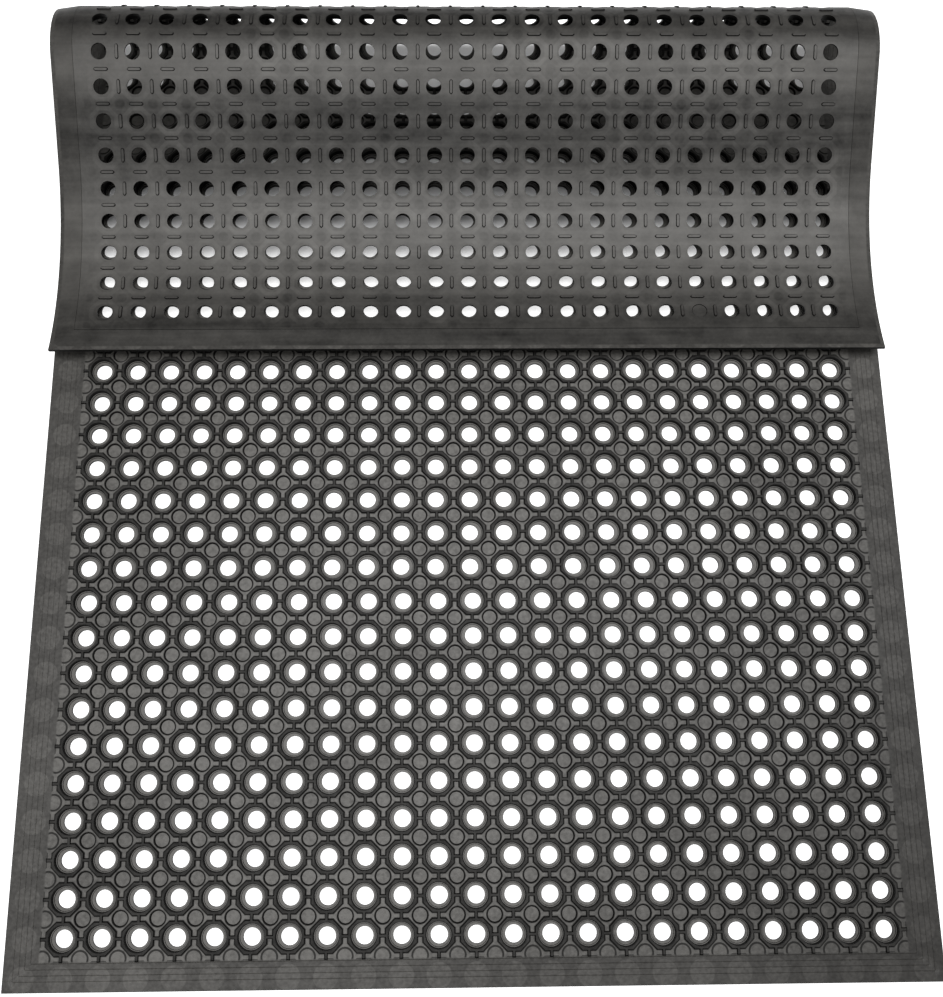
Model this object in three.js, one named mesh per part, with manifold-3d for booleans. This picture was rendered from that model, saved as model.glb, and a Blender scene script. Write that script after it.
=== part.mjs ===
// Rubber ring mat, 915 x 1524 x 10 mm, laid studs down with its far end folded back over itself.
// Millimetres. The origin is on the floor at the middle of the part's box, +X runs across the
// width, +Y towards the fold and +Z up. The mat is one moulding: its sheet is modelled in five
// lengths that meet between two rows of holes.
import * as THREE from "three";
import { mergeVertices } from "three/addons/utils/BufferGeometryUtils.js";
import Module from "manifold-3d";

// The grid of drain holes
const pitch = 36.6;
const columns = 23;
const rows = 40;
const holeDiameter = 17;
const holeSides = 5;

// The sheet and its borders
const thickness = 10;
const sideBorder = 54.9;
const endBorder = 48.3;
const borderDrop = 1.8;
const edgeRise = 4.6;
const bevelWidth = 25;
const ringFieldMargin = 15.5;

// The fold, along the middle of the sheet's thickness
const bendLead = 11.9;
const backRadius = 52.5;
const crownRadius = 55.5;
const slopeDegrees = 28.6;
const hollowRadius = 268;
const layerGap = 0.3;

// The rows of holes in each length of the sheet, the flap taking the rest
const nearPanelRows = 13;
const farPanelRows = 13;
const backBendRows = 3;
const crownRows = 3;
const seamGap = 0.3;

const facetMargin = 1.2;
const holeOvershoot = 4;
const rubberColour = 0x45423e;

const wasm = await Module();
wasm.setup();

const halfWidth = (columns - 1) * pitch / 2 + sideBorder;
const fieldHalf = (columns - 1) * pitch / 2 + ringFieldMargin;
const matLength = (rows - 1) * pitch + 2 * endBorder;
const floorRun = endBorder + (nearPanelRows + farPanelRows - 0.5) * pitch + bendLead;
const holeCircumradius = Math.sqrt(
  Math.PI * (holeDiameter / 2) ** 2 / (holeSides * Math.sin(2 * Math.PI / holeSides) / 2));
const facetHalf = holeCircumradius + facetMargin;

// The fold as a chain of straight and round stretches, each with its length and its turn. The
// sloping stretch is as long as it takes to bring the flap down onto the layer below, and the
// hollow one lifts the rest of the flap off it again.
function foldStretches() {
  const slope = THREE.MathUtils.degToRad(slopeDegrees);
  const drop = 2 * backRadius - thickness - layerGap;
  const roundDrop = (crownRadius + hollowRadius) * (1 - Math.cos(slope));
  const slopeLength = (drop - roundDrop) / Math.sin(slope);
  const stretches = [
    { length: floorRun, turn: 0 },
    { length: Math.PI * backRadius, turn: Math.PI },
    { length: crownRadius * slope, turn: slope },
    { length: slopeLength, turn: 0 },
  ];
  const rest = matLength - stretches.reduce((sum, stretch) => sum + stretch.length, 0);
  return [...stretches, { length: rest, turn: -rest / hollowRadius }];
}

const stretches = foldStretches();

// The place and heading of the sheet's middle at a distance along it from the near end
function pathAt(distance) {
  let [y, z, heading, left] = [0, thickness / 2, 0, distance];
  for (const stretch of stretches) {
    const part = Math.min(left, stretch.length);
    const turn = stretch.turn * part / stretch.length;
    const chord = turn === 0 ? part : part * Math.sin(turn / 2) / (turn / 2);
    y += chord * Math.cos(heading + turn / 2);
    z += chord * Math.sin(heading + turn / 2);
    heading += turn;
    left -= part;
    if (left <= 0) break;
  }
  return { y, z, heading };
}

// The middle of the part's box along Y, from the near end to the far side of the back bend
const middleY = (floorRun + backRadius + thickness / 2) / 2;

// A point of the sheet from its place across, along and through the thickness, studs at 0
function place(across, along, through) {
  const { y, z, heading } = pathAt(along);
  const rise = through - thickness / 2;
  return new THREE.Vector3(across, y - middleY - rise * Math.sin(heading), z + rise * Math.cos(heading));
}

// The sheet's outline across, at a distance along it: bevelled to a thin edge on the stud side,
// and lower in the borders than over the rings on the other side
function sectionAt(along, inField) {
  const fromEnd = Math.min(along, matLength - along);
  const share = Math.min(1, fromEnd / bevelWidth);
  const ringLevel = thickness - borderDrop;
  const half = [
    [halfWidth - bevelWidth * share, edgeRise * (1 - share)],
    [halfWidth, edgeRise],
    [halfWidth, ringLevel],
    [fieldHalf, ringLevel],
    [fieldHalf, inField ? thickness : ringLevel],
  ];
  return [...half, ...half.map(([across, through]) => [-across, through]).reverse()];
}

// Both ends of the flat facet that each row of holes lies in
function rowStations(row) {
  const middle = endBorder + row * pitch;
  return [middle - facetHalf, middle + facetHalf];
}

// Where the sheet's section is set out, from one cut to the next. The run on the floor is straight,
// so its rows need none of their own.
function stationsBetween(firstRow, lastRow) {
  const stations = [];
  const fieldStart = endBorder - ringFieldMargin;
  if (firstRow === 0) {
    for (const along of [0, bevelWidth, fieldStart]) stations.push([along, false]);
    stations.push([fieldStart, true]);
  } else {
    stations.push([endBorder + (firstRow - 0.5) * pitch + seamGap / 2, true]);
  }
  for (let row = firstRow; row <= lastRow; row += 1) {
    const [start, end] = rowStations(row);
    if (end > floorRun) stations.push([start, true], [end, true]);
  }
  if (lastRow === rows - 1) {
    stations.push([matLength - fieldStart, true]);
    for (const along of [fieldStart, bevelWidth, 0]) stations.push([matLength - along, false]);
  } else {
    stations.push([endBorder + (lastRow + 0.5) * pitch - seamGap / 2, true]);
  }
  return stations;
}

function solidFrom(geometry) {
  geometry.deleteAttribute("normal");
  geometry.deleteAttribute("uv");
  const merged = mergeVertices(geometry, 1e-5);
  const corners = merged.index.array;
  const kept = [];
  for (let i = 0; i < corners.length; i += 3) {
    const [a, b, c] = corners.slice(i, i + 3);
    if (a !== b && b !== c && c !== a) kept.push(a, b, c);
  }
  return new wasm.Manifold(new wasm.Mesh({
    numProp: 3,
    vertProperties: new Float32Array(merged.attributes.position.array),
    triVerts: new Uint32Array(kept),
  }));
}

// A closed skin over a row of outlines with equally many points, capped at both ends
function loft(outlines) {
  const count = outlines[0].length;
  const vertices = outlines.flat();
  const faces = [];
  const cap = THREE.ShapeUtils.triangulateShape(sectionAt(matLength / 2, true)
    .map(([across, through]) => new THREE.Vector2(across, through)), []);
  for (const [a, b, c] of cap) {
    faces.push(a, b, c);
    const last = (outlines.length - 1) * count;
    faces.push(last + a, last + c, last + b);
  }
  for (let ring = 0; ring < outlines.length - 1; ring += 1) {
    for (let i = 0; i < count; i += 1) {
      const [a, b] = [ring * count + i, ring * count + (i + 1) % count];
      faces.push(a, b + count, b, a, a + count, b + count);
    }
  }
  const geometry = new THREE.BufferGeometry().setFromPoints(vertices);
  geometry.setIndex(faces);
  return geometry;
}

// One drain hole's cutter, square to the facet that its row lies in
function holeCutter(row, column) {
  const [start, end] = rowStations(row).map((along) => place(0, along, thickness / 2));
  const normal = new THREE.Vector3(0, start.z - end.z, end.y - start.y).normalize();
  const cutter = new THREE.CylinderGeometry(
    holeCircumradius, holeCircumradius, thickness + 2 * holeOvershoot, holeSides);
  cutter.rotateY(Math.PI / holeSides);
  cutter.applyQuaternion(new THREE.Quaternion().setFromUnitVectors(new THREE.Vector3(0, 1, 0), normal));
  const middle = start.add(end).multiplyScalar(0.5);
  cutter.translate((column - (columns - 1) / 2) * pitch, middle.y, middle.z);
  return solidFrom(cutter);
}

function sheetLength(name, firstRow, rowCount) {
  const lastRow = firstRow + rowCount - 1;
  const outlines = stationsBetween(firstRow, lastRow).map(([along, inField]) =>
    sectionAt(along, inField).map(([across, through]) => place(across, along, through)));
  const cutters = [];
  for (let row = firstRow; row <= lastRow; row += 1) {
    for (let column = 0; column < columns; column += 1) cutters.push(holeCutter(row, column));
  }
  const holes = wasm.Manifold.union(cutters);
  const { vertProperties, triVerts } = solidFrom(loft(outlines)).subtract(holes).getMesh();
  const geometry = new THREE.BufferGeometry();
  geometry.setAttribute("position", new THREE.BufferAttribute(vertProperties, 3));
  geometry.setIndex(new THREE.BufferAttribute(triVerts, 1));
  const rubber = new THREE.MeshStandardMaterial({ color: rubberColour, roughness: 0.7, metalness: 0 });
  const mesh = new THREE.Mesh(geometry, rubber);
  mesh.name = name;
  return mesh;
}

const mat = new THREE.Group();
mat.name = "rubber_ring_mat";
const lengths = {
  mat_near_panel: nearPanelRows,
  mat_far_panel: farPanelRows,
  mat_back_bend: backBendRows,
  mat_crown: crownRows,
};
let nextRow = 0;
for (const [name, rowCount] of Object.entries(lengths)) {
  mat.add(sheetLength(name, nextRow, rowCount));
  nextRow += rowCount;
}
mat.add(sheetLength("mat_flap", nextRow, rows - nextRow));

export default mat;
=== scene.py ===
# %% [markdown]
# A moulded rubber ring mat, laid rings up on a pale floor with its far end folded back over
# itself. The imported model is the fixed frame: it gives the mat's box, and its five solids are
# lengths of one sheet. This script makes the same sheet with its rings, pockets, dimples and
# studs, bends it along the same fold, and gives it the look of moulded black rubber.

# %% Load the frame
import math
import bmesh
import bpy
import numpy as np
from mathutils import Matrix, Vector


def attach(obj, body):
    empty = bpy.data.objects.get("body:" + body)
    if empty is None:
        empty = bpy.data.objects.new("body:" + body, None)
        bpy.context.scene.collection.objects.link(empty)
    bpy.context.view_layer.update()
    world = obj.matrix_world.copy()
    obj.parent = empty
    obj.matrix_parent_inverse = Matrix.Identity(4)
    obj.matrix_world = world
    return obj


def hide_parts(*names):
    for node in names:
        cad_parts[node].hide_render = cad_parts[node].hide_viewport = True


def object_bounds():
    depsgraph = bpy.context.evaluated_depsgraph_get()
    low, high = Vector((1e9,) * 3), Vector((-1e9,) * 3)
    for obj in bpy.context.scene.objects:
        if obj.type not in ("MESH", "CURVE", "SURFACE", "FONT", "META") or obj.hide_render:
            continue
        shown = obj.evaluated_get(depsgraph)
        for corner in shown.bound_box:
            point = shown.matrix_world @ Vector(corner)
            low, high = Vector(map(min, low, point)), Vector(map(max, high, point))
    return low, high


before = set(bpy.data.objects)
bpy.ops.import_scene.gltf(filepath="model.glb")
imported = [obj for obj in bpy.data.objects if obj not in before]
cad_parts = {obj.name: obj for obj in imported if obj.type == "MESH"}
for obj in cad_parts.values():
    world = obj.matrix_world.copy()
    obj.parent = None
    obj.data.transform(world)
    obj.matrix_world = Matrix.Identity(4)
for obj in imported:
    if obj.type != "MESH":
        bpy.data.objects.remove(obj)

cad_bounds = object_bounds()
near_y = cad_bounds[0][1]
print("CAD box", [list(corner) for corner in cad_bounds])

# %% [markdown]
# The camera comes first. It looks down on the mat from about 1.26 m, tilted a little towards
# the fold, so that the far end closes in by the right amount. The lens shift is only what
# the photograph's framing needs.

# %% Camera
image_height = 997
focal_pixels = 1199.2
camera_place = (-0.0385, -0.3476, 1.2582)
camera_turn = (15.302, -0.937, -0.550)
camera_shift = (0.0149, -0.0293)

camera_data = bpy.data.cameras.new("photo_camera")
camera_data.sensor_width = 36.0
camera_data.lens = focal_pixels / image_height * camera_data.sensor_width
camera_data.shift_x, camera_data.shift_y = camera_shift
camera = bpy.data.objects.new("photo_camera", camera_data)
camera.location = camera_place
camera.rotation_euler = [math.radians(angle) for angle in camera_turn]
bpy.context.collection.objects.link(camera)
bpy.context.scene.camera = camera
print("lens", round(camera_data.lens, 2), "mm")

# %% [markdown]
# The grid sets every size on the mat. Holes stand a pitch apart both ways, in 23 columns and
# 40 rows. Heights are counted through the sheet from the stud tops, which stand on the floor,
# up to the ring tops, so the same numbers serve on both sides of the fold.

# %% Sizes of the sheet
mm = 0.001
pitch = 36.6 * mm
columns, rows = 23, 40
half = pitch / 2
side_border, end_border = 54.9 * mm, 48.3 * mm
mat_length = (rows - 1) * pitch + 2 * end_border

thickness = 10 * mm
sheet_level = 1.2 * mm
web_level = 4.2 * mm
land_level = 8.2 * mm
ring_level = thickness
seat_level = 5.0 * mm
dimple_level = 6.4 * mm
edge_level = 4.6 * mm

hole_radius, hole_top_radius = 8.5 * mm, 8.65 * mm
ledge_radius, seat_radius = 11.1 * mm, 11.5 * mm
bore_foot_radius, bore_radius = 12.5 * mm, 13.4 * mm
ring_apothem, ring_foot_apothem = 15.0 * mm, 15.9 * mm
rib_half, rib_foot_half = 1.1 * mm, 1.9 * mm
dimple_radius, dimple_floor_radius = 8.1 * mm, 7.0 * mm
stud_half_width, stud_half_length, stud_draft = 2.0 * mm, 8.1 * mm, 0.7 * mm
stud_split = 2.4 * mm
weld = 0.02 * mm
print("sheet length", round(mat_length, 4), "m")

# %% [markdown]
# The fold is a chain of straight and round stretches, the same that the solids follow: along
# the floor, round the back, over the crown, down a straight slope, and along a wide hollow
# that lifts the end of the flap again. A point of the flat sheet goes to its place by walking
# that chain, all points at once, so the sheet can be modelled flat and bent last.

# %% The fold
floor_run, back_radius, crown_radius = 993.5 * mm, 52.5 * mm, 55.5 * mm
slope, hollow_radius, layer_gap = math.radians(28.6), 268 * mm, 0.3 * mm


def fold_stretches():
    drop = 2 * back_radius - thickness - layer_gap
    round_drop = (crown_radius + hollow_radius) * (1 - math.cos(slope))
    stretches = [
        (floor_run, 0.0),
        (math.pi * back_radius, math.pi),
        (crown_radius * slope, slope),
        ((drop - round_drop) / math.sin(slope), 0.0),
    ]
    rest = mat_length - sum(length for length, _ in stretches)
    return stretches + [(rest, -rest / hollow_radius)]


def bend(flat):
    """Take points of the flat sheet to their places, and give the sheet's heading at each."""
    across, left, through = flat[:, 0], flat[:, 1].copy(), flat[:, 2] - thickness / 2
    y, z = np.full(len(flat), near_y), np.full(len(flat), thickness / 2)
    heading = np.zeros(len(flat))
    for index, (length, turn) in enumerate(fold_stretches()):
        low = -np.inf if index == 0 else 0.0
        part = np.clip(left, low, length)
        angle = turn * part / length
        chord = part * np.sinc(angle / 2 / np.pi)
        y += chord * np.cos(heading + angle / 2)
        z += chord * np.sin(heading + angle / 2)
        heading += angle
        left -= part
    bent = np.column_stack((across, y - through * np.sin(heading), z + through * np.cos(heading)))
    return bent, heading


end = bend(np.array([[0.0, mat_length, thickness / 2]]))[0][0]
print("flap ends at y", round(end[1], 4), "z", round(end[2], 4))

# %% [markdown]
# One cell of the mat is a square around a hole. It could be cut from a block with booleans,
# but every cell would then carry their debris. Instead one circle of 24 points is extruded
# loop by loop: up the hole, out along the ledge, up the drafted pocket, out to the ring's
# eight flats, down to the land and on to the cell's outline. Four ribs leave the ring for its
# neighbours, and a quarter of a blind dimple sits at each corner.

# %% Loops of a cell
spokes = 24
per_quarter = spokes // 4
half_step = math.pi / spokes


def spoke_of(vert, centre):
    """Count the spoke that a point lies nearest to, and split it into quarter and place."""
    angle = math.atan2(vert.co.y - centre.imag, vert.co.x - centre.real)
    spoke = round((angle - half_step) / (2 * half_step)) % spokes
    return divmod(spoke, per_quarter)


def circle_plan(radius):
    return [radius * complex(math.cos(a), math.sin(a))
            for a in ((2 * k + 1) * half_step for k in range(per_quarter))]


def mirrored(first_half):
    """Complete a quarter's plan with its mirror image across the diagonal."""
    return first_half + [complex(p.imag, p.real) for p in reversed(first_half)]


def octagon_plan(apothem, rib):
    flat = apothem / math.cos(half_step)
    return mirrored([
        complex(apothem, rib),
        complex(apothem, apothem * math.tan(math.pi / 8)),
        flat * complex(math.cos(5 * half_step), math.sin(5 * half_step)),
    ])


corner = complex(half, half)
outline_plan = mirrored([
    complex(half, rib_foot_half),
    complex(half, half - dimple_radius),
    corner - dimple_radius * complex(math.cos(math.pi / 3), math.sin(math.pi / 3)),
])
stud_plan = mirrored([
    complex(half - stud_half_width, stud_split),
    complex(half - stud_half_width, stud_half_length - stud_half_width),
    complex(half - stud_half_width / 2, stud_half_length - stud_half_width / 4),
])


def grow(bm, edges, centre, plan, level):
    """Extrude edges and set each new point down on a plan, given for one quarter of a cell."""
    made = bmesh.ops.extrude_edge_only(bm, edges=edges)["geom"]
    fresh = {item for item in made if isinstance(item, bmesh.types.BMVert)}
    for vert in fresh:
        quarter, place = spoke_of(vert, centre)
        spot = plan(quarter, place) if callable(plan) else plan[place] * 1j ** quarter
        vert.co = (centre.real + spot.real, centre.imag + spot.imag, level)
    return [item for item in made if isinstance(item, bmesh.types.BMEdge)
            and item.verts[0] in fresh and item.verts[1] in fresh]


def places(edge, centre):
    return {spoke_of(vert, centre)[1] for vert in edge.verts}


pocket_steps = [
    (ledge_radius, web_level),
    (seat_radius, seat_level),
    (bore_foot_radius, seat_level),
    (bore_radius, ring_level),
]
print("a cell has", spokes, "spokes,", per_quarter, "to a quarter")

# %% [markdown]
# The cell is grown on both sides of the same circle. Some cells differ: the outer columns and
# rows have no dimples or studs beyond them, and one hole near the flap's end was never
# punched through, so a thin skin closes it.

# %% One cell


def ring_side(bm, rim, centre, dimpled):
    loop = grow(bm, rim, centre, circle_plan(hole_top_radius), web_level)
    throat = loop
    for radius, level in pocket_steps:
        loop = grow(bm, loop, centre, circle_plan(radius), level)
    loop = grow(bm, loop, centre, octagon_plan(ring_apothem, rib_half), ring_level)
    roots = [edge for edge in loop if places(edge, centre) == {0, per_quarter - 1}]
    rib_end = mirrored([complex(half, rib_half)] * 3)
    ends = grow(bm, roots, centre, rib_end, ring_level)
    sides = [edge for end in ends for vert in end.verts for edge in vert.link_edges if edge not in ends]
    wall_top = [edge for edge in loop if edge not in roots] + sides
    foot = octagon_plan(ring_foot_apothem, rib_foot_half)
    made = bmesh.ops.extrude_edge_only(bm, edges=wall_top)["geom"]
    fresh = {item for item in made if isinstance(item, bmesh.types.BMVert)}
    for vert in fresh:
        quarter, place = spoke_of(vert, centre)
        flat = (complex(vert.co.x, vert.co.y) - centre) * (1j ** -quarter)
        at_end = max(flat.real, flat.imag) > half - weld
        spot = (outline_plan if at_end else foot)[place] * 1j ** quarter
        vert.co = (centre.real + spot.real, centre.imag + spot.imag, land_level)
    bottom = [item for item in made if isinstance(item, bmesh.types.BMEdge)
              and item.verts[0] in fresh and item.verts[1] in fresh]
    land_start = [edge for edge in bottom if len(places(edge, centre)) == 2]
    land_end = grow(bm, land_start, centre, outline_plan, land_level)
    inner = set(range(1, per_quarter - 1))
    for quarter in range(4):
        arc = [edge for edge in land_end if places(edge, centre) <= inner
               and spoke_of(edge.verts[0], centre)[0] == quarter]
        if dimpled[quarter]:
            scale = dimple_floor_radius / dimple_radius
            floor_plan = [corner + (spot - corner) * scale for spot in outline_plan]
            arc = grow(bm, arc, centre, floor_plan, dimple_level)
            grow(bm, arc, centre, [corner] * per_quarter, dimple_level)
        else:
            grow(bm, arc, centre, [corner] * per_quarter, land_level)
    return throat


def stud_side(bm, rim, centre, studded):
    loop = grow(bm, rim, centre, stud_plan, sheet_level)
    across_corner = {1, per_quarter - 2}

    def stud_end(quarter, place):
        first = place < per_quarter // 2
        side = quarter if first else quarter + 1
        reach = stud_half_length if studded[side % 4] else half - dimple_radius
        spot = complex(half, reach) if first else complex(reach, half)
        return spot * 1j ** quarter

    corners = [edge for edge in loop if places(edge, centre) == across_corner]
    ends = grow(bm, corners, centre, stud_end, sheet_level)
    grow(bm, ends, centre, [corner] * per_quarter, sheet_level)
    return loop, ends


def beside_stud(vert, centre, turned):
    spot = (complex(*vert.co[:2]) - centre) / turned
    return spot.real > half - stud_half_width and abs(spot.imag) < stud_half_length + weld


def make_cell(bm, centre, dimpled, studded, punched=True):
    """Grow one cell around its hole, with dimples by quarter and studs by side."""
    made = bmesh.ops.create_circle(bm, cap_ends=False, segments=spokes, radius=hole_radius)["verts"]
    turn = Matrix.Rotation(half_step, 3, "Z")
    bmesh.ops.rotate(bm, verts=made, cent=(0, 0, 0), matrix=turn)
    bmesh.ops.translate(bm, verts=made, vec=(centre.real, centre.imag, sheet_level))
    rim = list({edge for vert in made for edge in vert.link_edges})
    throat = ring_side(bm, rim, centre, dimpled)
    loop, ends = stud_side(bm, rim, centre, studded)
    for side in range(4):
        turned = 1j ** side
        near_side = []
        for edge in loop:
            spots = [((complex(*vert.co[:2]) - centre) / turned) for vert in edge.verts]
            if all(spot.real > abs(spot.imag) + weld for spot in spots):
                near_side.append(edge)
        if studded[side]:
            tips = [vert for end in ends for vert in end.verts]
            flanks = [edge for tip in tips for edge in tip.link_edges if edge.is_boundary
                      and all(beside_stud(vert, centre, turned) for vert in edge.verts)]
            raise_stud(bm, near_side + flanks, centre, turned)
        else:
            close_side(bm, near_side, centre, turned)
    if not punched:
        skin_over(bm, rim, throat, centre)


def raise_stud(bm, edges, centre, turned):
    edges = list(set(edges))
    made = bmesh.ops.extrude_edge_only(bm, edges=edges)["geom"]
    fresh = [item for item in made if isinstance(item, bmesh.types.BMVert)]
    top = [item for item in made if isinstance(item, bmesh.types.BMEdge)
           and item.verts[0] in fresh and item.verts[1] in fresh]
    for vert in fresh:
        spot = (complex(*vert.co[:2]) - centre) / turned
        inset = complex(min(spot.real + stud_draft, half),
                        spot.imag * (1 - stud_draft / stud_half_length)) * turned
        vert.co = (centre.real + inset.real, centre.imag + inset.imag, 0.0)
    made = bmesh.ops.extrude_edge_only(bm, edges=top)["geom"]
    for vert in [item for item in made if isinstance(item, bmesh.types.BMVert)]:
        spot = (complex(*vert.co[:2]) - centre) / turned
        flat = complex(half, spot.imag) * turned
        vert.co = (centre.real + flat.real, centre.imag + flat.imag, 0.0)


def close_side(bm, edges, centre, turned):
    for vert in {vert for edge in edges for vert in edge.verts}:
        spot = (complex(*vert.co[:2]) - centre) / turned
        if abs(spot.imag) > stud_half_length - stud_half_width / 2:
            reach = math.copysign(stud_half_length + stud_half_width / 4, spot.imag)
            let_out = complex(spot.real, reach) * turned
            vert.co = (centre.real + let_out.real, centre.imag + let_out.imag, sheet_level)
    made = bmesh.ops.extrude_edge_only(bm, edges=edges)["geom"]
    for vert in [item for item in made if isinstance(item, bmesh.types.BMVert)]:
        spot = (complex(*vert.co[:2]) - centre) / turned
        far = rib_foot_half if abs(spot.imag) < stud_half_length / 2 else half - dimple_radius
        flat = complex(half, math.copysign(far, spot.imag)) * turned
        vert.co = (centre.real + flat.real, centre.imag + flat.imag, sheet_level)


skin_steps = [(0.93, 0.7 * mm), (0.5, 0.45 * mm), (0.0, 0.35 * mm)]
skin_dip = 0.3 * mm


def skin_over(bm, rim, throat, centre):
    """Take out a hole's wall, and close the hole with a thin skin a little above the studs' side."""
    wall = [face for edge in rim for face in edge.link_faces
            if all(vert.co.z < land_level for vert in face.verts)
            and any(vert.co.z > sheet_level + weld for vert in face.verts)]
    bmesh.ops.delete(bm, geom=list(set(wall)), context="FACES")
    loop = rim
    for share, rise in skin_steps:
        loop = grow(bm, loop, centre, circle_plan(hole_radius * share), sheet_level + rise)
    grow(bm, throat, centre, [0j] * per_quarter, web_level - skin_dip)


trial = bmesh.new()
make_cell(trial, 0j, [True] * 4, [True] * 4)
bmesh.ops.remove_doubles(trial, verts=trial.verts, dist=weld)
print("a cell has", len(trial.faces), "faces,", len(trial.calc_loop_triangles()), "triangles")
trial.free()

# %% [markdown]
# The borders run on from the outer cells. They are flush with the land on the ring side, where
# four fine grooves follow the edge, and bevelled on the stud side from a thin line down to a
# thin edge. Both faces are extruded outwards in the same steps, so that they meet at the edge
# point for point, and the levels depend on the nearer edge, which mitres the corners.

# %% Levels of the border
groove_places = [10.0 * mm, 15.4 * mm, 20.8 * mm, 26.2 * mm]
groove_half, groove_depth = 0.45 * mm, 0.3 * mm
bevel_width, line_half, line_depth = 25.0 * mm, 0.35 * mm, 0.35 * mm
edge_round = 0.6 * mm
rib_reach, rib_slope = 1.8 * mm, 1.4 * mm


def border_steps(width):
    """Distances from the outer edge at which a border of this width is set out."""
    steps = [width - rib_reach, width - rib_reach - rib_slope]
    for place in groove_places + [bevel_width]:
        reach = line_half if place == bevel_width else groove_half
        steps += [place + reach, place, place - reach]
    steps += [edge_round, 0.0]
    return sorted({round(step, 6) for step in steps}, reverse=True)


def ring_side_level(distance):
    if distance < edge_round:
        return land_level - (edge_round - distance)
    nearest = min(abs(distance - place) for place in groove_places)
    return land_level - groove_depth * max(0.0, 1 - nearest / groove_half)


def stud_side_level(distance):
    if distance > bevel_width:
        ramp = 0.0
    else:
        ramp = (edge_level - sheet_level) * (1 - distance / bevel_width)
    nearest = abs(distance - bevel_width)
    return sheet_level + ramp + line_depth * max(0.0, 1 - nearest / line_half)


side_steps = border_steps(side_border - half)
end_steps = border_steps(end_border - half)
print(len(side_steps), "steps to a side border,", len(end_steps), "to an end border")

# %% [markdown]
# Each length of the mat is a block of cells with its side borders, and an end border where it
# has one. Cells are grown once for each kind and copied to every place of that kind, which is
# quick and keeps them alike. The holes sit a little to one side of their pockets, by an amount
# that grows with the row: slowly over the first ten rows, and faster over each ten after them,
# which start again from the other side.

# %% Blocks of cells
field_half = (columns - 1) * pitch / 2 + half
half_width = (columns - 1) * pitch / 2 + side_border
punch_rows = 10
first_punch, first_drift = 0.45 * mm, 0.06 * mm
next_punch, next_drift = -1.4 * mm, 0.27 * mm
skinned_hole = (39, 18)


def punch_shift(row):
    if row < punch_rows:
        return first_punch + first_drift * row
    return next_punch + next_drift * (row % punch_rows)


def cell_kind(row, column):
    left, right = column > 0, column < columns - 1
    below, above = row > 0, row < rows - 1
    dimpled = (right and above, left and above, left and below, right and below)
    studded = (right, above, left, below)
    return dimpled, studded, (row, column) != skinned_hole


templates = {}


def template(kind):
    if kind not in templates:
        bm = bmesh.new()
        make_cell(bm, 0j, kind[0], kind[1], kind[2])
        bmesh.ops.remove_doubles(bm, verts=bm.verts, dist=weld)
        mesh = bpy.data.meshes.new("cell")
        bm.to_mesh(mesh)
        bm.free()
        templates[kind] = mesh
    return templates[kind]


def add_cells(bm, first, count):
    for row in range(first, first + count):
        for column in range(columns):
            known = len(bm.verts)
            bm.from_mesh(template(cell_kind(row, column)))
            bm.verts.ensure_lookup_table()
            fresh = bm.verts[known:]
            for vert in fresh:
                if math.hypot(vert.co.x, vert.co.y) < hole_top_radius + weld:
                    vert.co.x += punch_shift(row)
            x = (column - (columns - 1) / 2) * pitch
            bmesh.ops.translate(bm, verts=fresh, vec=(x, end_border + row * pitch, 0))
    bmesh.ops.remove_doubles(bm, verts=bm.verts, dist=weld)


def new_items(made):
    """Split what an extrusion made into its new points and the edges between them."""
    fresh = {item for item in made if isinstance(item, bmesh.types.BMVert)}
    edges = [item for item in made if isinstance(item, bmesh.types.BMEdge)
             and item.verts[0] in fresh and item.verts[1] in fresh]
    return fresh, edges


def edge_distance(point):
    return min(half_width - abs(point.x), point.y, mat_length - point.y)


def border_level(point):
    on_ring_side = point.z > (sheet_level + land_level) / 2
    level = ring_side_level if on_ring_side else stud_side_level
    return level(edge_distance(point))


def open_edges_at(bm, axis, value):
    return [edge for edge in bm.edges if edge.is_boundary
            and all(abs(vert.co[axis] - value) < weld for vert in edge.verts)]


def push_border(bm, edges, axis, steps, place_at):
    """Extrude boundary edges outwards in steps. Rib ends run on for one step, then slope down."""
    for number, distance in enumerate(steps):
        fresh, edges = new_items(bmesh.ops.extrude_edge_only(bm, edges=edges)["geom"])
        for vert in fresh:
            ribbed = vert.co.z > land_level + weld
            vert.co[axis] = place_at(distance)
            if ribbed and number > 0:
                start = 0.0 if axis == 1 else end_border
                offset = (vert.co[1 - axis] - start + half) % pitch - half
                vert.co[1 - axis] += math.copysign(rib_foot_half - rib_half, offset)
            if not ribbed or number > 0:
                vert.co.z = border_level(vert.co)
        if number == 1:
            bmesh.ops.remove_doubles(bm, verts=list(fresh), dist=weld)
            edges = open_edges_at(bm, axis, place_at(distance))


def close_rim(bm):
    """Drop a wall from the ring side's outer edge to the stud side's, and weld them."""
    rim = [edge for edge in bm.edges if edge.is_boundary
           and all(edge_distance(vert.co) < weld and vert.co.z > edge_level + weld
                   for vert in edge.verts)]
    fresh, _ = new_items(bmesh.ops.extrude_edge_only(bm, edges=rim)["geom"])
    for vert in fresh:
        vert.co.z = edge_level
    bmesh.ops.remove_doubles(bm, verts=bm.verts, dist=weld)


def grow_length(first, count):
    bm = bmesh.new()
    add_cells(bm, first, count)
    for sign in (1, -1):
        edges = open_edges_at(bm, 0, sign * field_half)
        push_border(bm, edges, 0, side_steps, lambda distance: sign * (half_width - distance))
    if first == 0:
        edges = open_edges_at(bm, 1, end_border - half)
        push_border(bm, edges, 1, end_steps, lambda distance: distance)
    if first + count == rows:
        edges = open_edges_at(bm, 1, mat_length - end_border + half)
        push_border(bm, edges, 1, end_steps, lambda distance: mat_length - distance)
    close_rim(bm)
    caps = bmesh.ops.holes_fill(bm, edges=[edge for edge in bm.edges if edge.is_boundary], sides=0)
    bmesh.ops.recalc_face_normals(bm, faces=bm.faces)
    print("rows", first, "to", first + count - 1, "have", len(caps["faces"]), "cut ends")
    return bm


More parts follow.
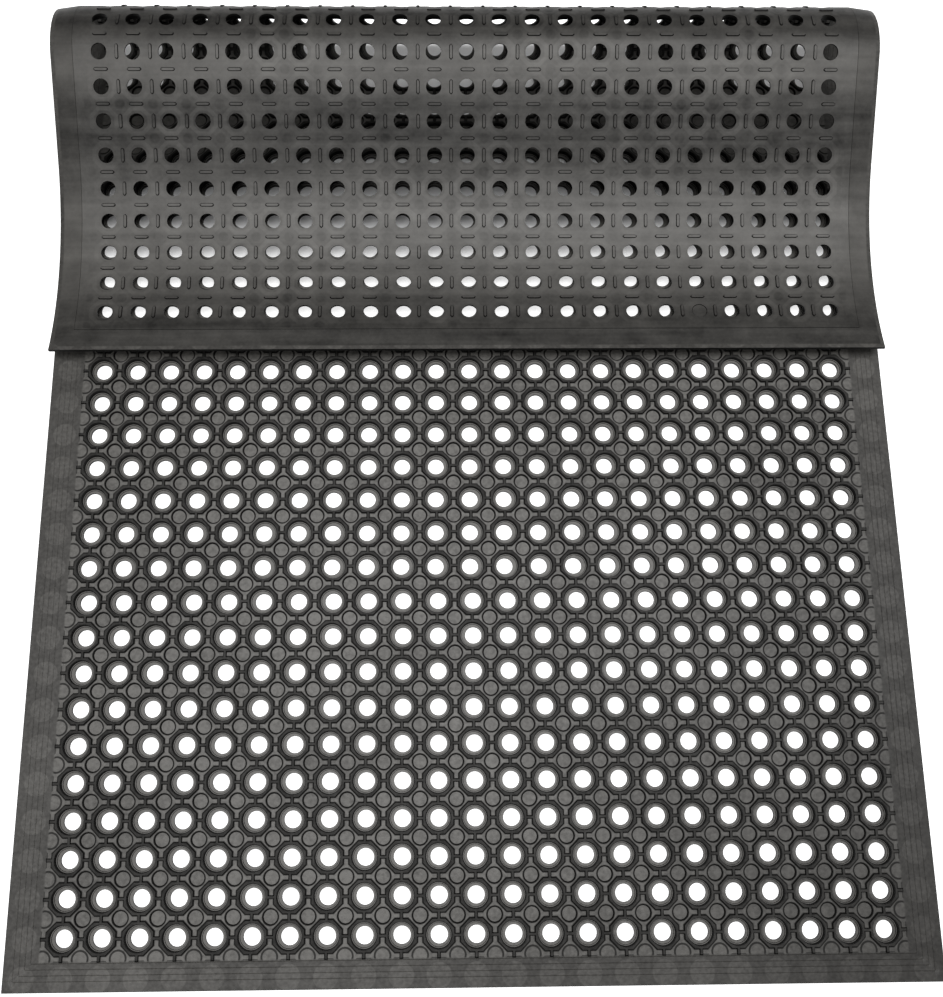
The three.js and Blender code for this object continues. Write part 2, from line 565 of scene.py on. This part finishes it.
# %% [markdown]
# Each grown length becomes an object. Its flat places are kept on the mesh as an attribute, so
# that the rubber's pattern follows the sheet round the fold, and its steep faces are marked, so
# that the rubber can paint them dark as shade. Then the points are bent. The shading normals are taken
# from the flat sheet and turned with it, so that the curves look smooth across wide faces and
# no line shows where two lengths meet.

# %% Bend the lengths into place
crease_angle = math.radians(32)
steep_limit = 0.75


def read_values(items, name, width):
    values = np.empty(len(items) * width, dtype=np.float32)
    items.foreach_get(name, values)
    return values.reshape(-1, width).astype(float)


def mark_mesh(mesh, flat):
    kept = mesh.attributes.new("sheet", "FLOAT_VECTOR", "POINT")
    kept.data.foreach_set("vector", flat.astype(np.float32).ravel())
    # Steep faces are marked so that the rubber can paint them dark, as shade.
    rise = np.abs(read_values(mesh.polygons, "normal", 3)[:, 2])
    steep_wall_shade = mesh.attributes.new("steep_wall_shade", "FLOAT", "FACE")
    steep_wall_shade.data.foreach_set("value", (rise < steep_limit).astype(np.float32))


def bend_mesh(mesh):
    """Bend a flat mesh, and turn its own corner normals with the sheet."""
    flat = read_values(mesh.vertices, "co", 3)
    mark_mesh(mesh, flat)
    mesh.shade_smooth()
    mesh.set_sharp_from_angle(angle=crease_angle)
    normals = read_values(mesh.corner_normals, "vector", 3)
    corner_points = np.empty(len(mesh.loops), dtype=np.int32)
    mesh.loops.foreach_get("vertex_index", corner_points)
    bent, heading = bend(flat)
    turn = heading[corner_points]
    along, through = normals[:, 1].copy(), normals[:, 2].copy()
    normals[:, 1] = along * np.cos(turn) - through * np.sin(turn)
    normals[:, 2] = along * np.sin(turn) + through * np.cos(turn)
    mesh.vertices.foreach_set("co", bent.astype(np.float32).ravel())
    mesh.update()
    mesh.normals_split_custom_set(normals)


def make_length(name, first, count, nodes):
    bm = grow_length(first, count)
    mesh = bpy.data.meshes.new(name)
    bm.to_mesh(mesh)
    volume = bm.calc_volume()
    open_edges = sum(edge.is_boundary for edge in bm.edges)
    bm.free()
    bend_mesh(mesh)
    piece = bpy.data.objects.new(name, mesh)
    bpy.context.collection.objects.link(piece)
    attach(piece, "root")
    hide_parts(*nodes)
    mesh.calc_loop_triangles()
    print(name, len(mesh.loop_triangles), "triangles,", open_edges, "open edges,",
          round(volume * 1000, 3), "litres")
    return piece


pieces = [
    make_length("near_sheet", 0, 7, ["mat_near_panel"]),
    make_length("middle_sheet", 7, 6, ["mat_near_panel"]),
    make_length("far_sheet", 13, 13, ["mat_far_panel"]),
    make_length("loop_sheet", 26, 6, ["mat_back_bend", "mat_crown"]),
    make_length("flap_sheet", 32, 8, ["mat_flap"]),
]

# %% [markdown]
# Shader sums read best as sums. A small class wraps a socket and adds the Math nodes that an
# expression asks for, and one method adds any other node.

# %% Shader helpers


class Wire:
    """A shader value that takes part in sums."""

    def __init__(self, paint, socket):
        self.paint, self.socket = paint, socket

    def __add__(self, other):
        return self.paint.sum("ADD", self, other)

    def __sub__(self, other):
        return self.paint.sum("SUBTRACT", self, other)

    def __rsub__(self, other):
        return self.paint.sum("SUBTRACT", other, self)

    def __mul__(self, other):
        return self.paint.sum("MULTIPLY", self, other)

    __radd__, __rmul__ = __add__, __mul__

    def above(self, start, end):
        """Rise from 0 to 1 as the value goes from start to end."""
        return self.paint.sum("MULTIPLY", self - start, 1 / (end - start), clamp=True)


class Paint:
    """A material's node tree, with one way to add any node."""

    def __init__(self, name):
        self.material = bpy.data.materials.new(name)
        self.material.use_nodes = True
        self.tree = self.material.node_tree
        self.tree.nodes.clear()

    def add(self, kind, settings=(), values=(), output=0):
        """Add a node, set it up, and give one of its outputs to work on with."""
        node = self.tree.nodes.new("ShaderNode" + kind)
        for key, value in dict(settings).items():
            setattr(node, key, value)
        for key, value in dict(values).items():
            if isinstance(value, Wire):
                self.tree.links.new(value.socket, node.inputs[key])
            else:
                node.inputs[key].default_value = value
        return Wire(self, node.outputs[output]) if node.outputs else node

    def sum(self, operation, *parts, clamp=False):
        settings = {"operation": operation, "use_clamp": clamp}
        return self.add("Math", settings, dict(enumerate(parts)))

    def split(self, vector):
        apart = self.add("SeparateXYZ", values={"Vector": vector}).socket.node
        return [Wire(self, socket) for socket in apart.outputs]


# %% [markdown]
# Black rubber is not black in the light. Chalky dust settles on the land and the discs, the
# ledges are painted paler still as a highlight, and ring tops are rubbed darker. Steep walls and
# a band at the foot of each wall are painted nearly black as shade. The stud side has streaks
# where the rubber flowed across the mould, and faint ghosts of the rings behind it: their shape
# is a bump, a painted sheen makes them paler, and small dents at the corners are painted darker
# as shade. All of it is worked out from the sheet's own places, so it goes round the fold with
# the rubber. A cell's pattern comes from wrapping those places at the pitch.
# One colour could be varied, but rubber without dust also shines less than chalked rubber,
# so two surfaces are mixed, with the tone as the factor; the painted shade, sheen and highlight
# move the same factor.
#
# Two paler bands across the flap are painted sheen, where the crest and the hollow would
# catch the light, and the ring side's pale tone is painted darker towards the near right
# corner. These lamps alone don't give them, so under other light they may be set to 0.

# %% Rubber tones
# The pale colour serves dust and the painted sheen and highlight; the dark one serves bare rubber and
# the painted shade.
dark_rubber, dust_and_sheen_rubber = (0.0040, 0.0038, 0.0036, 1.0), (0.088, 0.0840, 0.0770, 1.0)
ghost_inside, ghost_outside, ghost_soft = 10.5 * mm, 15.0 * mm, 1.2 * mm
dent_radius = 6.5 * mm
# Where the painted shade lies beside the ring walls, the disc walls and the bores.
outline_start, outline_end, outline_soft = 14.7 * mm, 16.4 * mm, 0.4 * mm
disc_start, disc_end = 6.5 * mm, 8.4 * mm
bore_start, bore_end = 12.0 * mm, 13.3 * mm
# Where the two bands of painted sheen lie along the sheet, across the flap.
crest_sheen, hollow_sheen = (1.155, 1.205, 0.035), (1.285, 1.415, 0.070)
# Of these amounts, the first paints a highlight on the ledges, the third darkens the near right corner,
# and the last sets how dark the painted wall shade goes.
ledge_highlight_gain, border_loss, near_right_loss, wall_shade_depth = 0.35, 0.45, 0.40, 0.85
near_right_across, near_right_along = (-0.05, 0.40), (0.15, 0.75)


def cell_places(paint, across, along):
    """Fold a cell's four quarters onto one, and give the distances from its hole's middle."""
    u = paint.sum("ABSOLUTE", paint.sum("WRAP", across, half, -half))
    v = paint.sum("ABSOLUTE", paint.sum("WRAP", along - end_border, half, -half))
    eight_sided = paint.sum("MAXIMUM", paint.sum("MAXIMUM", u, v), (u + v) * math.sqrt(0.5))
    to_corner = paint.sum("SQRT", (half - u) * (half - u) + (half - v) * (half - v))
    to_hole = paint.sum("SQRT", u * u + v * v)
    return eight_sided, to_corner, to_hole


def band(value, start, end, soft=outline_soft):
    """Rise to 1 past one value and fall to 0 again past another."""
    return value.above(start, start + soft) * (1 - value.above(end, end + soft))


def make_rubber():
    paint = Paint("moulded_rubber")
    sheet = paint.add("Attribute", {"attribute_name": "sheet"}, output="Vector")
    steep_wall_shade = paint.add("Attribute", {"attribute_name": "steep_wall_shade"}, output="Fac")
    across, along, through = paint.split(sheet)
    eight_sided, to_corner, to_hole = cell_places(paint, across, along)

    cloud = paint.add("TexNoise", values={"Vector": sheet, "Scale": 7.0, "Detail": 3.0})
    patch = paint.add("TexNoise", values={"Vector": sheet, "Scale": 38.0, "Detail": 4.0})
    speck = paint.add("TexNoise", values={"Vector": sheet, "Scale": 260.0, "Detail": 3.0})
    grain = paint.add("TexNoise", values={"Vector": sheet, "Scale": 900.0, "Detail": 2.0})
    drawn = paint.add("Mapping", values={"Vector": sheet, "Scale": (5.0, 90.0, 1.0)})
    streak = paint.add("TexNoise", values={"Vector": drawn, "Scale": 1.0, "Detail": 4.0})

    ring_side = through.above(web_level - 0.3 * mm, web_level - 0.1 * mm)
    ring_top = through.above(land_level + 0.5 * mm, ring_level - 0.3 * mm)
    stud_side = 1 - ring_side
    ghost = band(eight_sided, ghost_inside, ghost_outside, ghost_soft)
    dent = 1 - to_corner.above(dent_radius - 2 * mm, dent_radius)

    # Bands at the foot of each wall, to be painted dark as shade.
    beside_ring = band(eight_sided, outline_start, outline_end)
    beside_disc = band(to_corner, disc_start, disc_end)
    beside_bore = band(to_hole, bore_start, bore_end)
    beside_wall = paint.sum("MAXIMUM", paint.sum("MAXIMUM", beside_ring, beside_disc), beside_bore)
    painted_wall_shade = ring_side * (1 - ring_top) * beside_wall
    # The ledges round each hole are painted paler, as a highlight.
    ledge_highlight = 1 - to_hole.above(bore_start, bore_start + outline_soft)
    side = paint.sum("ABSOLUTE", across).above(field_half + rib_reach, field_half + 2 * rib_reach)
    from_middle = paint.sum("ABSOLUTE", along - mat_length / 2)
    field_end = mat_length / 2 - end_border + half + rib_reach
    border = paint.sum("MAXIMUM", side, from_middle.above(field_end, field_end + rib_reach))
    showing = stud_side * (1 - border) * cloud.above(0.40, 0.62)
    # Darker towards the near right corner of the mat.
    near_right_darkening = across.above(*near_right_across) * (1 - along.above(*near_right_along))

    # Dust on the ring side, made paler on the ledges by a painted highlight.
    dust_and_ledge_highlight = ring_side * (1 - ring_top) * (0.84 + 1.0 * (speck - 0.5) + 0.9 * (cloud - 0.5))
    dust_and_ledge_highlight = dust_and_ledge_highlight * (1 + ledge_highlight_gain * ledge_highlight) * (1 - border_loss * border) * (1 - near_right_loss * near_right_darkening)
    # Two paler bands across the flap are painted sheen.
    painted_sheen = band(along, *crest_sheen) + band(along, *hollow_sheen)
    mottle = 0.5 * (streak - 0.5) + 0.5 * (patch - 0.5) + 0.2 * (speck - 0.5)
    plain = stud_side * (0.30 + 0.42 * painted_sheen + mottle)
    worn = ring_top * (0.16 + 0.3 * (patch - 0.5) + 0.3 * (speck - 0.5))
    # The ring ghosts are painted paler, as sheen, and the corner dents darker, as shade; the bump gives
    # their shape.
    sink_sheen_and_shade = showing * (0.14 * ghost - 0.12 * dent)
    # Steep walls and the bands at their feet are painted nearly black, as shade.
    painted_crevice_shade = paint.sum("MAXIMUM", steep_wall_shade, wall_shade_depth * painted_wall_shade * (1 - border))
    tone = paint.sum("MULTIPLY", dust_and_ledge_highlight + plain + worn + sink_sheen_and_shade, 1 - painted_crevice_shade, clamp=True)
    height = grain * 0.5 + speck * 0.5 + showing * (ghost - dent) * 0.3
    bump = paint.add("Bump", values={"Strength": 0.4, "Distance": 0.0004, "Height": height})
    bare_and_shade = paint.add("BsdfPrincipled", values={
        "Base Color": dark_rubber, "Roughness": 0.6, "Normal": bump, "Specular IOR Level": 0.12})
    chalk_and_sheen = paint.add("BsdfPrincipled", values={
        "Base Color": dust_and_sheen_rubber, "Roughness": 0.46, "Normal": bump, "Specular IOR Level": 0.5})
    # The tone mixes the two surfaces, for dust and for the painted shade, sheen and highlight alike.
    surface = paint.add("MixShader", values={0: tone, 1: bare_and_shade, 2: chalk_and_sheen})
    paint.add("OutputMaterial", values={"Surface": surface})
    return paint.material


rubber = make_rubber()
for piece in pieces:
    piece.data.materials.append(rubber)
print("rubber has", len(rubber.node_tree.nodes), "nodes")

# %% [markdown]
# The ground is white and lit until it clips, also where it shows through the holes. A wide pale
# floor with some light of its own does the same. Under the fold the real ground lies in shade,
# so the floor's own light fades there, the deeper the darker.

# %% Floor
bpy.ops.mesh.primitive_plane_add(size=14.0, location=(0.0, 0.0, -0.0005))
floor = bpy.context.object
floor.name = "studio_floor"
shade_start, shade_depth, shade_half = end[1] + 75 * mm, 90 * mm, 440 * mm


def make_floor():
    pale = Paint("pale_floor")
    place = pale.add("TexCoord", output="Object")
    x, y, _ = pale.split(place)
    inside = 1 - pale.sum("ABSOLUTE", x).above(shade_half, shade_half + 10 * mm)
    covered = inside * y.above(shade_start, shade_start + shade_depth)
    covered = covered * (1 - y.above(cad_bounds[1][1], cad_bounds[1][1] + 10 * mm))
    lit = pale.add("Mix", {"data_type": "RGBA"}, {
        "Factor": covered, "A": (0.75, 0.75, 0.75, 1.0), "B": (0.05, 0.05, 0.05, 1.0)}, output=2)
    ground = pale.add("BsdfPrincipled", values={
        "Base Color": (0.86, 0.86, 0.86, 1.0), "Roughness": 0.9,
        "Emission Color": lit, "Emission Strength": 1.0})
    pale.add("OutputMaterial", values={"Surface": ground})
    return pale.material


floor.data.materials.append(make_floor())

# %% [markdown]
# The light is soft and comes mostly from a large panel straight overhead. The crown and the
# hollow of the flap mirror it more than the slope that faces the camera does, which helps the
# fold to read. A low fill comes from all round, and a small panel lifts the near left corner.

# %% Light


def panel(name, place, aim, size, power):
    data = bpy.data.lights.new(name, "AREA")
    data.shape, data.size, data.size_y = "RECTANGLE", size[0], size[1]
    data.energy = power
    lamp = bpy.data.objects.new(name, data)
    lamp.location = place
    lamp.rotation_euler = (Vector(aim) - Vector(place)).to_track_quat("-Z", "Y").to_euler()
    bpy.context.collection.objects.link(lamp)


panel("ceiling_panel", (0.35, 0.08, 2.4), (0.35, 0.08, 0.0), (2.6, 1.15), 60.0)
panel("left_panel", (-0.9, -1.1, 2.2), (-0.4, -0.5, 0.0), (1.0, 0.8), 9.0)
world = bpy.data.worlds.new("studio")
world.use_nodes = True
world.node_tree.nodes["Background"].inputs["Color"].default_value = (1.0, 1.0, 1.0, 1.0)
world.node_tree.nodes["Background"].inputs["Strength"].default_value = 0.34
bpy.context.scene.world = world
bpy.context.scene.view_settings.view_transform = "Standard"
bpy.context.scene.view_settings.look = "None"
